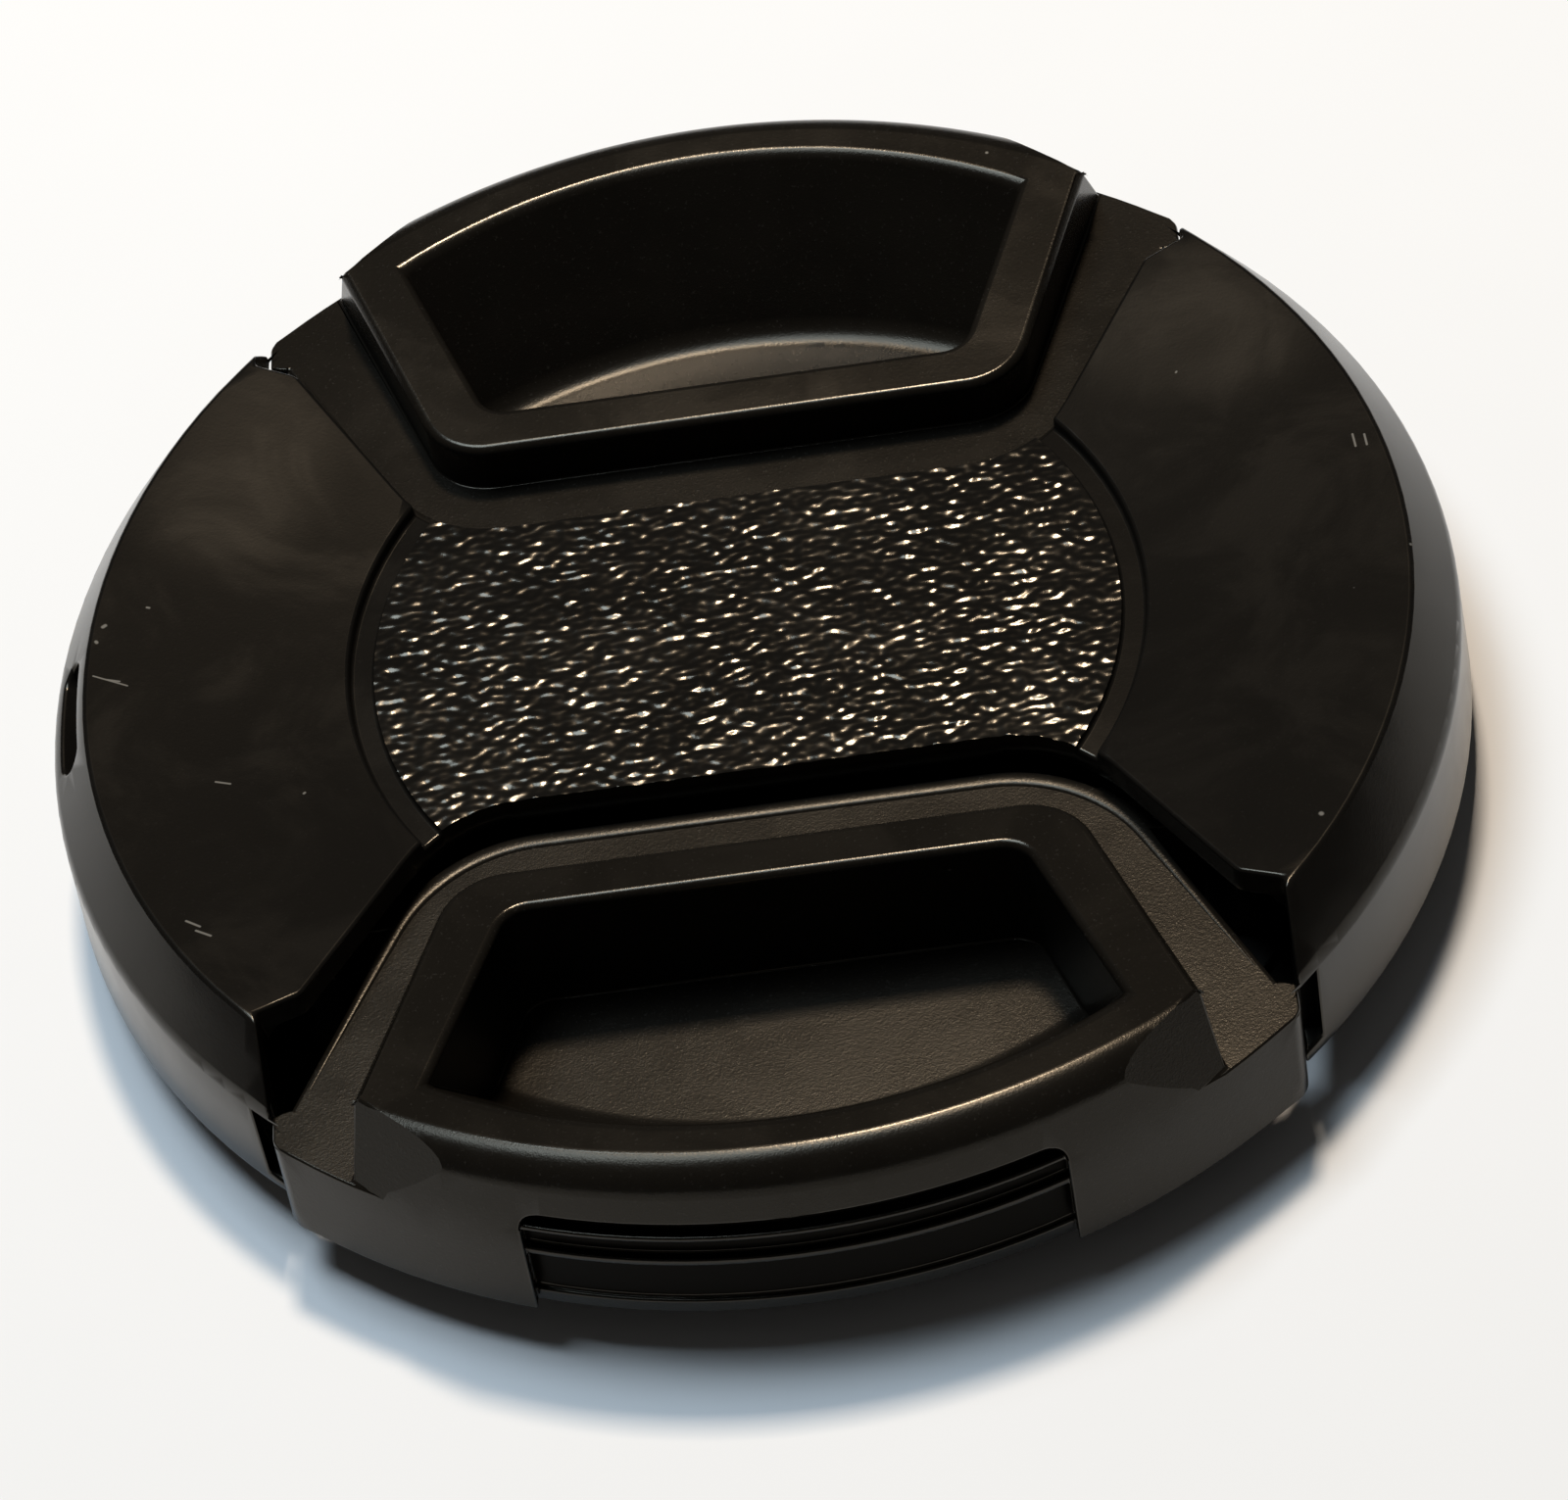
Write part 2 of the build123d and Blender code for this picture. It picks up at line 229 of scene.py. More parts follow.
class InsideSettings(bpy.types.PropertyGroup):
    """Back plate and springs."""

    plate_edge_round: FloatProperty(
        name="Plate edge round",
        description="Width of the rounding on the back plate's edges",
        default=0.1 * MM,
        min=0,
        unit="LENGTH",
    )
    plate_colour: FloatVectorProperty(
        name="Plate colour",
        description="Colour of the back plate",
        default=(0.009, 0.009, 0.009),
        min=0,
        max=1,
        subtype="COLOR",
    )
    wire_colour: FloatVectorProperty(
        name="Wire colour",
        description="Colour of the spring wire",
        default=(0.46, 0.45, 0.43),
        min=0,
        max=1,
        subtype="COLOR",
    )
    wire: FloatProperty(
        name="Wire",
        description="Diameter of the spring wire",
        default=0.3 * MM,
        min=0.1 * MM,
        unit="LENGTH",
    )
    turns: IntProperty(
        name="Turns",
        description="Turns of each coil spring",
        default=6,
        min=2,
    )


class StageSettings(bpy.types.PropertyGroup):
    """Table, lights and sky."""

    table_colour: FloatVectorProperty(
        name="Table colour",
        description="Colour of the pale table top",
        default=(0.89, 0.9, 0.915),
        min=0,
        max=1,
        subtype="COLOR",
    )
    warm_power: FloatProperty(
        name="Warm lamp",
        description="Power of the warm lamp behind the cap, in watts",
        default=2.35,
        min=0,
    )
    cool_power: FloatProperty(
        name="Cool lamp",
        description="Power of the cool lamp behind the cap on the left, in watts",
        default=2.1,
        min=0,
    )
    sky: FloatProperty(
        name="Sky",
        description="Strength of the even light from all round",
        default=0.035,
        min=0,
    )


def only(piece):
    """Leave this piece alone selected and active."""
    bpy.ops.object.select_all(action="DESELECT")
    piece.select_set(True)
    bpy.context.view_layer.objects.active = piece


def edit_all(piece):
    """Go into edit mode with all of a piece selected."""
    only(piece)
    bpy.ops.object.mode_set(mode="EDIT")
    bpy.ops.mesh.select_all(action="SELECT")


def edit_some(piece, kind, passes):
    """Go into edit mode with just those points, edges or faces selected that pass a test."""
    only(piece)
    bpy.ops.object.mode_set(mode="EDIT")
    bpy.ops.mesh.select_mode(type=kind)
    bpy.ops.mesh.select_all(action="DESELECT")
    bpy.ops.object.mode_set(mode="OBJECT")
    mesh = piece.data
    for part in {"VERT": mesh.vertices, "EDGE": mesh.edges, "FACE": mesh.polygons}[kind]:
        part.select = passes(part)
    bpy.ops.object.mode_set(mode="EDIT")


def select_open_edges():
    """Select the open borders of the piece in edit mode."""
    bpy.ops.mesh.select_non_manifold(
        extend=False, use_wire=False, use_multi_face=False, use_non_contiguous=False
    )


def face_outwards():
    """Turn all faces of the piece in edit mode outwards, and leave edit mode."""
    bpy.ops.mesh.select_all(action="SELECT")
    bpy.ops.mesh.normals_make_consistent(inside=False)
    bpy.ops.object.mode_set(mode="OBJECT")


def split_off(piece):
    """Copy the selected part of a piece in edit mode, leave edit mode, and return the copy."""
    bpy.ops.mesh.duplicate()
    bpy.ops.mesh.separate(type="SELECTED")
    bpy.ops.object.mode_set(mode="OBJECT")
    return next(o for o in bpy.context.selected_objects if o != piece)


def join(piece, other):
    """Join another piece into this one."""
    only(piece)
    other.select_set(True)
    bpy.ops.object.join()


def trim(piece, cutter, operation):
    """Cut a piece with another piece, which is used up."""
    cut = piece.modifiers.new("cut", "BOOLEAN")
    cut.operation = operation
    cut.solver = "MANIFOLD"
    cut.object = cutter
    only(piece)
    bpy.ops.object.modifier_apply(modifier="cut")
    bpy.data.objects.remove(cutter)


def merged_copy(node, name):
    """Copy a CAD node as a new piece, with its triangles merged into whole faces."""
    piece = bpy.data.objects.new(name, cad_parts[node].data.copy())
    bpy.context.scene.collection.objects.link(piece)
    piece.data.materials.clear()
    edit_all(piece)
    bpy.ops.mesh.remove_doubles(threshold=2e-6)
    bpy.ops.mesh.customdata_custom_splitnormals_clear()
    bpy.ops.mesh.dissolve_limited(angle_limit=math.radians(0.1))
    bpy.ops.object.mode_set(mode="OBJECT")
    return piece


def faces_beside(piece):
    """Faces on both sides of each edge of a piece, by the edge's key."""
    beside = {}
    for face in piece.data.polygons:
        for key in face.edge_keys:
            beside.setdefault(key, []).append(face)
    return beside


def is_sharp(faces):
    """True where the faces on the two sides of an edge meet in a sharp turn."""
    return faces[0].normal.angle(faces[-1].normal, 0) > SHARP


def round_corner(piece, width, passes):
    """Round the sharp edges whose ends both pass a test of their place in millimetres."""
    points = piece.data.vertices
    chosen = {
        key
        for key, faces in faces_beside(piece).items()
        if is_sharp(faces) and all(passes(points[i].co / MM) for i in key)
    }
    edit_some(piece, "EDGE", lambda edge: edge.key in chosen)
    bpy.ops.mesh.bevel(offset=width, segments=4, affect="EDGES", clamp_overlap=False)
    bpy.ops.object.mode_set(mode="OBJECT")


def round_edges(piece, width, slot, leave=None):
    """Round the sharp edges in a material slot of their own, and shade evenly.

    Leave is a test of an edge's two faces, for edges that stay crisp.
    """
    sharp = {
        key
        for key, faces in faces_beside(piece).items()
        if is_sharp(faces) and not (leave and leave(*faces))
    }
    edit_some(piece, "EDGE", lambda edge: edge.key in sharp)
    bpy.ops.mesh.bevel(offset=width, segments=3, affect="EDGES", material=slot)
    bpy.ops.mesh.select_all(action="SELECT")
    bpy.ops.mesh.dissolve_degenerate(threshold=1e-7)
    bpy.ops.object.mode_set(mode="OBJECT")
    bpy.ops.object.shade_smooth_by_angle(angle=SMOOTH)
    if leave:
        crisp = {key for key, faces in faces_beside(piece).items() if leave(*faces)}
        edit_some(piece, "EDGE", lambda edge: edge.key in crisp)
        bpy.ops.mesh.mark_sharp()
        bpy.ops.object.mode_set(mode="OBJECT")
    even = piece.modifiers.new("even_shading", "WEIGHTED_NORMAL")
    even.keep_sharp = True
    bpy.ops.object.modifier_apply(modifier="even_shading")


def add_node(tree, kind, values=None, **settings):
    """Add a node, set its settings, and set its inputs or link them to other nodes' outputs."""
    made = tree.nodes.new(kind)
    for key, value in settings.items():
        setattr(made, key, value)
    for key, value in (values or {}).items():
        if isinstance(value, bpy.types.NodeSocket):
            tree.links.new(value, made.inputs[key])
        else:
            made.inputs[key].default_value = value
    return made


def new_group(name, inputs, outputs):
    """Start a shader node group and return its tree, its input node and its output node."""
    tree = bpy.data.node_groups.new(name, "ShaderNodeTree")
    for label, kind in inputs:
        tree.interface.new_socket(label, in_out="INPUT", socket_type=kind)
    for label in outputs:
        tree.interface.new_socket(label, in_out="OUTPUT", socket_type="NodeSocketFloat")
    return tree, tree.nodes.new("NodeGroupInput"), tree.nodes.new("NodeGroupOutput")


def use_group(tree, name, values):
    """Place a node group in a material."""
    return add_node(tree, "ShaderNodeGroup", values, node_tree=bpy.data.node_groups[name])


def math_node(tree, operation, *values, clamp=False):
    """Add a Math node and return its output."""
    made = add_node(
        tree, "ShaderNodeMath", dict(enumerate(values)), operation=operation, use_clamp=clamp
    )
    return made.outputs[0]


def vector_node(tree, operation, first, second):
    """Add a Vector Math node for two vectors."""
    return add_node(tree, "ShaderNodeVectorMath", {0: first, 1: second}, operation=operation)


def mix_colours(tree, factor, first, second):
    """Mix two colours by a factor and return the output."""
    made = add_node(
        tree, "ShaderNodeMix", {"Factor": factor, 6: first, 7: second}, data_type="RGBA"
    )
    return made.outputs[2]


def remap(tree, value, low, high, to_low, to_high):
    """Map a value from one range to another, smoothly and clamped, and return the output."""
    made = add_node(
        tree,
        "ShaderNodeMapRange",
        {"Value": value, "From Min": low, "From Max": high, "To Min": to_low, "To Max": to_high},
        interpolation_type="SMOOTHSTEP",
    )
    return made.outputs["Result"]


def make_moulded_grain():
    """Group for the fine grain of a spark-eroded mould: a height, and a speckle of bright points."""
    tree, start, end = new_group(
        "moulded_grain",
        [("Place", "NodeSocketVector"), ("Density", "NodeSocketFloat")],
        ["Height", "Speckle"],
    )
    place, density = start.outputs["Place"], start.outputs["Density"]
    coarse = add_node(
        tree,
        "ShaderNodeTexNoise",
        {"Vector": place, "Scale": density, "Detail": 3.0, "Roughness": 0.65},
    ).outputs["Fac"]
    fine_density = math_node(tree, "MULTIPLY", density, 2.3)
    pits = add_node(tree, "ShaderNodeTexVoronoi", {"Vector": place, "Scale": fine_density})
    height = math_node(tree, "MULTIPLY_ADD", pits.outputs["Distance"], 0.35, coarse)
    tree.links.new(height, end.inputs["Height"])
    tree.links.new(remap(tree, coarse, 0.60, 0.74, 0.0, 1.0), end.inputs["Speckle"])


def make_handling_haze():
    """Group for what handling leaves: broad cloudy smudges, and scattered specks of dust."""
    tree, start, end = new_group(
        "handling_haze", [("Place", "NodeSocketVector")], ["Smudge", "Dust"]
    )
    place = start.outputs["Place"]
    clouds = add_node(
        tree,
        "ShaderNodeTexNoise",
        {"Vector": place, "Scale": 170.0, "Detail": 4.0, "Roughness": 0.62, "Distortion": 0.6},
    )
    smudge = remap(tree, clouds.outputs["Fac"], 0.36, 0.68, 0.0, 1.0)
    specks = add_node(tree, "ShaderNodeTexVoronoi", {"Vector": place, "Scale": 420.0})
    near = remap(tree, specks.outputs["Distance"], 0.018, 0.042, 1.0, 0.0)
    chosen = add_node(tree, "ShaderNodeSeparateColor", {"Color": specks.outputs["Color"]})
    rare = math_node(tree, "GREATER_THAN", chosen.outputs["Red"], 0.86)
    tree.links.new(smudge, end.inputs["Smudge"])
    tree.links.new(math_node(tree, "MULTIPLY", near, rare), end.inputs["Dust"])


def make_mark():
    """Group for one scratch or speck: a mask along the line from Start to End."""
    tree, start, end = new_group(
        "mark",
        [
            ("Place", "NodeSocketVector"),
            ("Start", "NodeSocketVector"),
            ("End", "NodeSocketVector"),
            ("Width", "NodeSocketFloat"),
        ],
        ["Mask"],
    )
    origin = start.outputs["Start"]
    run = vector_node(tree, "SUBTRACT", start.outputs["End"], origin).outputs["Vector"]
    reach = vector_node(tree, "SUBTRACT", start.outputs["Place"], origin).outputs["Vector"]
    along = vector_node(tree, "DOT_PRODUCT", reach, run).outputs["Value"]
    square = vector_node(tree, "DOT_PRODUCT", run, run).outputs["Value"]
    share = math_node(tree, "DIVIDE", along, square, clamp=True)
    foot = add_node(tree, "ShaderNodeVectorMath", {0: run, "Scale": share}, operation="SCALE")
    away = vector_node(tree, "DISTANCE", reach, foot.outputs["Vector"]).outputs["Value"]
    level = math_node(tree, "DIVIDE", away, start.outputs["Width"])
    tree.links.new(remap(tree, level, 0.3, 1.0, 1.0, 0.0), end.inputs["Mask"])


# Scratches and specks on the lobes: start, end and width, in millimetres
LOBE_MARKS = (
    ((-25.63, 0.92, 9.36), (-24.29, 0.30, 9.21), 0.05),
    ((-25.10, 0.68, 9.30), (-24.60, 0.55, 9.25), 0.06),
    ((-25.29, 3.49, 9.35), (-25.20, 3.56, 9.34), 0.11),
    ((-25.55, 2.73, 9.37), (-25.52, 2.68, 9.37), 0.10),
    ((-23.57, 4.39, 9.17), (-23.48, 4.36, 9.16), 0.07),
    ((24.52, 4.78, 9.29), (24.56, 4.12, 9.28), 0.06),
    ((24.97, 4.65, 9.33), (25.00, 4.08, 9.33), 0.06),
    ((20.88, -14.27, 9.32), (20.90, -14.30, 9.32), 0.13),
    ((-21.82, -12.17, 9.29), (-21.30, -12.50, 9.27), 0.07),
    ((-21.44, -12.70, 9.28), (-20.89, -13.01, 9.24), 0.07),
    ((-20.81, -5.04, 8.89), (-20.25, -5.19, 8.83), 0.06),
    ((-17.43, -5.94, 8.55), (-17.39, -5.90, 8.54), 0.07),
    ((18.08, 9.94, 8.80), (18.11, 9.98, 8.80), 0.06),
)

# Places on the lobes that handling has made duller, in the same form
LOBE_PATCHES = (
    ((-20.5, 9.6, 9.0), (-19.0, 13.6, 9.1), 5.0),
    ((17.6, 12.5, 8.9), (20.6, 11.6, 9.1), 5.0),
)

# Colours of the plastic's shine, of the bright points in its grain, and of scratches and dust
SHINE = (1.0, 0.9, 0.74, 1)
SPECKLE_COLOUR = (0.05, 0.046, 0.04, 1)
WEAR_COLOUR = (0.16, 0.155, 0.14, 1)


def marked(tree, place, marks):
    """Join the masks of several marks and return the output."""
    joined = None
    for first, last, width in marks:
        mark = use_group(
            tree,
            "mark",
            {
                "Place": place,
                "Start": Vector(first) * MM,
                "End": Vector(last) * MM,
                "Width": width * MM,
            },
        ).outputs["Mask"]
        joined = mark if joined is None else math_node(tree, "MAXIMUM", joined, mark)
    return joined


def new_material(name):
    """Start a material; return it, its tree, its surface, and the output for places on the piece."""
    made = bpy.data.materials.new(name)
    made.use_nodes = True
    tree = made.node_tree
    place = tree.nodes.new("ShaderNodeTexCoord").outputs["Object"]
    return made, tree, tree.nodes["Principled BSDF"], place


def black_plastic(name, colour, roughness, gloss, density, depth, sparkle, marks=(), patches=()):
    """Black moulded plastic with cloudy haze, dust, and the scratches and dull patches given.

    Density, depth and sparkle are those of its fine grain.
    """
    made, tree, surface, place = new_material(name)
    surface.inputs["Specular IOR Level"].default_value = gloss
    surface.inputs["Specular Tint"].default_value = SHINE
    grain = use_group(tree, "moulded_grain", {"Place": place, "Density": density})
    haze = use_group(tree, "handling_haze", {"Place": place})
    smudge, wear = haze.outputs["Smudge"], haze.outputs["Dust"]
    if marks:
        wear = math_node(tree, "MAXIMUM", wear, marked(tree, place, marks))

    lighter = tuple(min(1.0, c * 1.25) for c in colour)
    clouded = mix_colours(tree, smudge, (*colour, 1), (*lighter, 1))
    speckled = math_node(tree, "MULTIPLY", grain.outputs["Speckle"], sparkle)
    grained = mix_colours(tree, speckled, clouded, SPECKLE_COLOUR)
    worn = math_node(tree, "MULTIPLY", wear, 0.75)
    tree.links.new(mix_colours(tree, worn, grained, WEAR_COLOUR), surface.inputs["Base Color"])

    smudged = remap(tree, smudge, 0.0, 1.0, roughness - 0.015, roughness + 0.02)
    rough = math_node(tree, "MULTIPLY_ADD", wear, 0.25, smudged)
    if patches:
        rough = math_node(tree, "MULTIPLY_ADD", marked(tree, place, patches), 0.05, rough)
    tree.links.new(rough, surface.inputs["Roughness"])

    bump = add_node(
        tree,
        "ShaderNodeBump",
        {"Height": grain.outputs["Height"], "Strength": depth, "Distance": 0.02 * MM},
    )
    tree.links.new(bump.outputs["Normal"], surface.inputs["Normal"])
    return made


def spring_steel(colour):
    """Drawn spring wire: metal with fine streaks and darker oily patches."""
    made, tree, surface, place = new_material("drawn_wire")
    surface.inputs["Metallic"].default_value = 1.0
    haze = use_group(tree, "handling_haze", {"Place": place})
    darker = tuple(c * 0.55 for c in colour)
    oiled = mix_colours(tree, haze.outputs["Smudge"], (*colour, 1), (*darker, 1))
    tree.links.new(oiled, surface.inputs["Base Color"])
    streaks = add_node(
        tree, "ShaderNodeTexNoise", {"Vector": place, "Scale": 5200.0, "Detail": 2.0}
    )
    rough = remap(tree, streaks.outputs["Fac"], 0.3, 0.7, 0.22, 0.42)
    tree.links.new(rough, surface.inputs["Roughness"])
    return made


def largest_level_face(piece):
    """Index of the largest face that looks straight up."""
    level = [face for face in piece.data.polygons if face.normal.z > 0.9999]
    if not level:
        raise RuntimeError(piece.name + " has no level face")
    return max(level, key=lambda face: face.area).index


def pad_block(shell, pad, height):
    """Sink the shell's pad, and return a block of the pad's outline with a rounded upper edge."""
    edit_some(shell, "FACE", lambda face: face.index == pad)
    block = split_off(shell)
    if len(block.data.polygons) != 1:
        raise RuntimeError("the pad's outline isn't one face")
    edit_some(shell, "FACE", lambda face: face.index == pad)
    bpy.ops.transform.translate(value=(0, 0, -PAD_SINK))
    bpy.ops.object.mode_set(mode="OBJECT")

    edit_all(block)
    bpy.ops.transform.resize(value=(1.0004, 1.0004, 1), center_override=(0, 0, 0))
    bpy.ops.transform.translate(value=(0, 0, -PAD_DEPTH))
    bpy.ops.mesh.extrude_region_move(
        TRANSFORM_OT_translate={"value": (0, 0, PAD_DEPTH + height)}
    )
    bpy.ops.mesh.bevel(offset=PAD_BORDER_ROUND, segments=3, affect="EDGES")
    face_outwards()
    return block


def raise_grain(skin, settings):
    """Raise the pebbles on a flat sheet, and the slow wobble that makes them uneven."""
    pebbles = bpy.data.textures.new("pebbles", "VORONOI")
    pebbles.noise_scale = settings.grain_cell
    pebbles.weight_1 = -1.0
    pebbles.weight_2 = 1.0
    wobble = bpy.data.textures.new("wobble", "CLOUDS")
    wobble.noise_scale = 0.8 * settings.grain_cell
    wobble.noise_depth = 0
    for texture, share in ((pebbles, 0.45), (wobble, 1.0)):
        relief = skin.modifiers.new(texture.name, "DISPLACE")
        relief.texture = texture
        relief.texture_coords = "LOCAL"
        relief.direction = "Z"
        relief.mid_level = 0.5
        relief.strength = share * settings.grain_height
        bpy.ops.object.modifier_apply(modifier=texture.name)


def grained_pad(shell, settings):
    """Sink the shell's pad a little, and return a grained skin that lies in its place."""
    pad = largest_level_face(shell)
    pad_z = shell.data.polygons[pad].center.z
    block = pad_block(shell, pad, settings.grain_height)

    # Sheet of pebbles, made narrow and then stretched along the bridge, and closed underneath
    low = [min(v.co[i] for v in block.data.vertices) - SHEET_MARGIN for i in (0, 1)]
    high = [max(v.co[i] for v in block.data.vertices) + SHEET_MARGIN for i in (0, 1)]
    length, width = high[0] - low[0], high[1] - low[1]
    bpy.ops.object.select_all(action="DESELECT")
    bpy.ops.mesh.primitive_grid_add(
        x_subdivisions=round(length / settings.grain_step),
        y_subdivisions=round(width / settings.grain_step),
        size=1,
        location=(0, 0, pad_z),
    )
    skin = bpy.context.object
    skin.name = "pad_grain"
    skin.scale = (length / settings.grain_stretch, width, 1)
    bpy.ops.object.transform_apply(location=True, rotation=True, scale=True)
    raise_grain(skin, settings)
    bpy.ops.object.mode_set(mode="EDIT")
    bpy.ops.mesh.select_mode(type="VERT")
    bpy.ops.mesh.select_all(action="SELECT")
    bpy.ops.mesh.vertices_smooth(factor=0.5, repeat=1)
    bpy.ops.transform.resize(
        value=(settings.grain_stretch, 1, 1), center_override=(0, 0, pad_z)
    )
    select_open_edges()
    bpy.ops.mesh.extrude_edges_move(TRANSFORM_OT_translate={"value": (0, 0, -SHEET_DEPTH)})
    bpy.ops.transform.resize(value=(1, 1, 0), center_override=(0, 0, pad_z - SHEET_DEPTH))
    bpy.ops.mesh.edge_face_add()
    face_outwards()

    trim(skin, block, "INTERSECT")
    if len(skin.data.polygons) < 1000:
        raise RuntimeError("the pad's grain was lost in trimming")
    bpy.ops.object.shade_smooth_by_angle(angle=SMOOTH_FINE)
    return skin


class LENSCAP_OT_front_shell(bpy.types.Operator):
    """Dress the front moulding: rounded edges, grained pad, satin black with handling marks."""

    bl_idname = "lenscap.front_shell"
    bl_label = "Front shell"

    def execute(self, context):
        settings = context.scene.lens_cap_shell
        shell = merged_copy("front_shell", "front_shell_moulding")
        skin = grained_pad(shell, settings)
        satin = black_plastic(
            "satin_black",
            settings.colour,
            settings.roughness,
            gloss=0.25,
            density=6500.0,
            depth=0.1,
            sparkle=0.08,
            marks=LOBE_MARKS,
            patches=LOBE_PATCHES,
        )
        edge = black_plastic(
            "satin_black_edge",
            settings.colour,
            roughness=0.2,
            gloss=0.4,
            density=6500.0,
            depth=0.05,
            sparkle=0.1,
        )
        pad = black_plastic(
            "pad_black",
            settings.colour,
            roughness=0.16,
            gloss=0.48,
            density=9000.0,
            depth=0.05,
            sparkle=0.1,
        )
        shell.data.materials.append(satin)
        shell.data.materials.append(edge)
        round_edges(shell, settings.edge_round, 1)
        skin.data.materials.clear()
        skin.data.materials.append(pad)
        join(shell, skin)
        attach(shell, "cap")
        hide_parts("front_shell")
        return {"FINISHED"}


# In the functions of the grips, side is -1 for the front grip and 1 for the rear


def frame_plane(side):
    """Point on the tilted top of a grip's frame, and its normal."""
    point = Vector((0, side * FRAME_Y, FRAME_Z)) * MM
    return point, Vector((0, -side * math.sin(FRAME_TILT), math.cos(FRAME_TILT)))


def round_rim(grip, side, width):
    """Round the outer rim of a grip fully, with a cutter that is hollowed by a rounded cone."""
    point, up = frame_plane(side)

    # Cone that reaches this far below and above the height where it has the rim's radius
    below, above = 3.6, 3.4
    bpy.ops.object.select_all(action="DESELECT")
    bpy.ops.mesh.primitive_cone_add(
        vertices=360,
        radius1=(RIM_RADIUS + below * RIM_LEAN) * MM,
        radius2=(RIM_RADIUS - above * RIM_LEAN) * MM,
        depth=(below + above) * MM,
        location=(0, 0, 8.5 * MM),
    )
    cone = bpy.context.object
    bpy.ops.object.transform_apply(location=True, rotation=True, scale=True)
    edit_all(cone)
    bpy.ops.mesh.bisect(
        plane_co=point + up * 0.008 * MM, plane_no=up, use_fill=True, clear_outer=True
    )
    bpy.ops.mesh.bevel(offset=width, segments=7, affect="EDGES")
    bpy.ops.object.mode_set(mode="OBJECT")

    # Block around the upper part of the rim, which keeps only what lies outside the cone
    bpy.ops.object.select_all(action="DESELECT")
    bpy.ops.mesh.primitive_cube_add(size=1, location=(0, side * 23 * MM, 9.6 * MM))
    cutter = bpy.context.object
    cutter.scale = (44 * MM, 14 * MM, 2.4 * MM)
    bpy.ops.object.transform_apply(location=True, rotation=True, scale=True)
    trim(cutter, cone, "DIFFERENCE")
    trim(grip, cutter, "DIFFERENCE")


def round_frame(grip, side, width):
    """Round the sharp edges all round the tilted top of a grip's frame."""
    point, up = frame_plane(side)
    top = {
        face.index
        for face in grip.data.polygons
        if face.normal.dot(up) > 0.9995 and abs((face.center - point).dot(up)) < 0.02 * MM
    }
    steep = set()
    for face in grip.data.polygons:
        if face.index not in top and face.normal.dot(up) < 0.8:
            steep.update(face.edge_keys)
    rim = {key for index in top for key in grip.data.polygons[index].edge_keys}
    edit_some(grip, "EDGE", lambda edge: edge.key in rim and edge.key in steep)
    bpy.ops.mesh.bevel(offset=width, segments=4, affect="EDGES", clamp_overlap=False)
    bpy.ops.object.mode_set(mode="OBJECT")


def shift_points(piece, shift, passes):
    """Move those points of a piece whose place in millimetres passes a test."""
    edit_some(piece, "VERT", lambda point: passes(point.co / MM))
    bpy.ops.transform.translate(value=shift)
    bpy.ops.object.mode_set(mode="OBJECT")


def shape_wings(grip, side):
    """Bring the ends of a grip's outer wall up to the lobes, and chamfer the wings' inner corners."""
    nearest, farthest = WING_CUT_Y
    for hand in (-1, 1):
        reach = (hand * WING_REACH * MM, 0, 0)
        shift_points(grip, reach, lambda place: hand * place.x > WING_START)
        for x, back in WING_CUT:
            shift_points(
                grip,
                (0, side * back * MM, 0),
                lambda place: abs(hand * place.x - x) < 0.02
                and nearest < abs(place.y) < farthest
                and place.z > WING_CUT_Z,
            )


def flange_lip(grip, side):
    """Return a low rounded lip that follows the inner edge of a grip's flange."""
    level = FLANGE_Z * MM
    chosen = set()
    for key, faces in faces_beside(grip).items():
        lower, upper = sorted(faces, key=lambda face: face.normal.z)
        level_edge = all(abs(grip.data.vertices[i].co.z - level) < 0.002 * MM for i in key)
        if level_edge and upper.normal.z > 0.99999 > lower.normal.z and lower.center.z < level:
            if lower.normal.y * side < -0.0005:
                chosen.add(key)
    edit_some(grip, "EDGE", lambda edge: edge.key in chosen)
    lip = split_off(grip)
    lip.name = grip.name + "_lip"
    edit_all(lip)
    bpy.ops.mesh.bisect(
        plane_co=(0, side * LIP_END * MM, 0), plane_no=(0, side, 0), clear_outer=True
    )
    bpy.ops.mesh.select_all(action="SELECT")
    bpy.ops.transform.translate(value=(0, side * 0.05 * MM, 0))
    bpy.ops.transform.resize(value=(0.998, 1, 1), center_override=(0, 0, level))
    bpy.ops.object.mode_set(mode="OBJECT")

    # Rod along that edge, thinner towards its ends, and then pressed flat
    bpy.ops.object.convert(target="CURVE")
    lip = bpy.context.object
    for spline in lip.data.splines:
        for point in spline.points:
            fade = (abs(point.co.y) - LIP_FADE_START * MM) / (LIP_FADE_LENGTH * MM)
            point.radius = 1 - 0.9 * min(max(fade, 0.0), 1.0)
    lip.data.bevel_depth = LIP_HALF_WIDTH * MM
    lip.data.bevel_resolution = 4
    lip.data.use_fill_caps = True
    bpy.ops.object.convert(target="MESH")
    lip = bpy.context.object
    edit_all(lip)
    bpy.ops.mesh.remove_doubles(threshold=1e-7)
    flat = LIP_HEIGHT / LIP_HALF_WIDTH
    bpy.ops.transform.resize(value=(1, 1, flat), center_override=(0, 0, level))
    face_outwards()
    bpy.ops.object.shade_smooth_by_angle(angle=SMOOTH_FINE)
    return lip


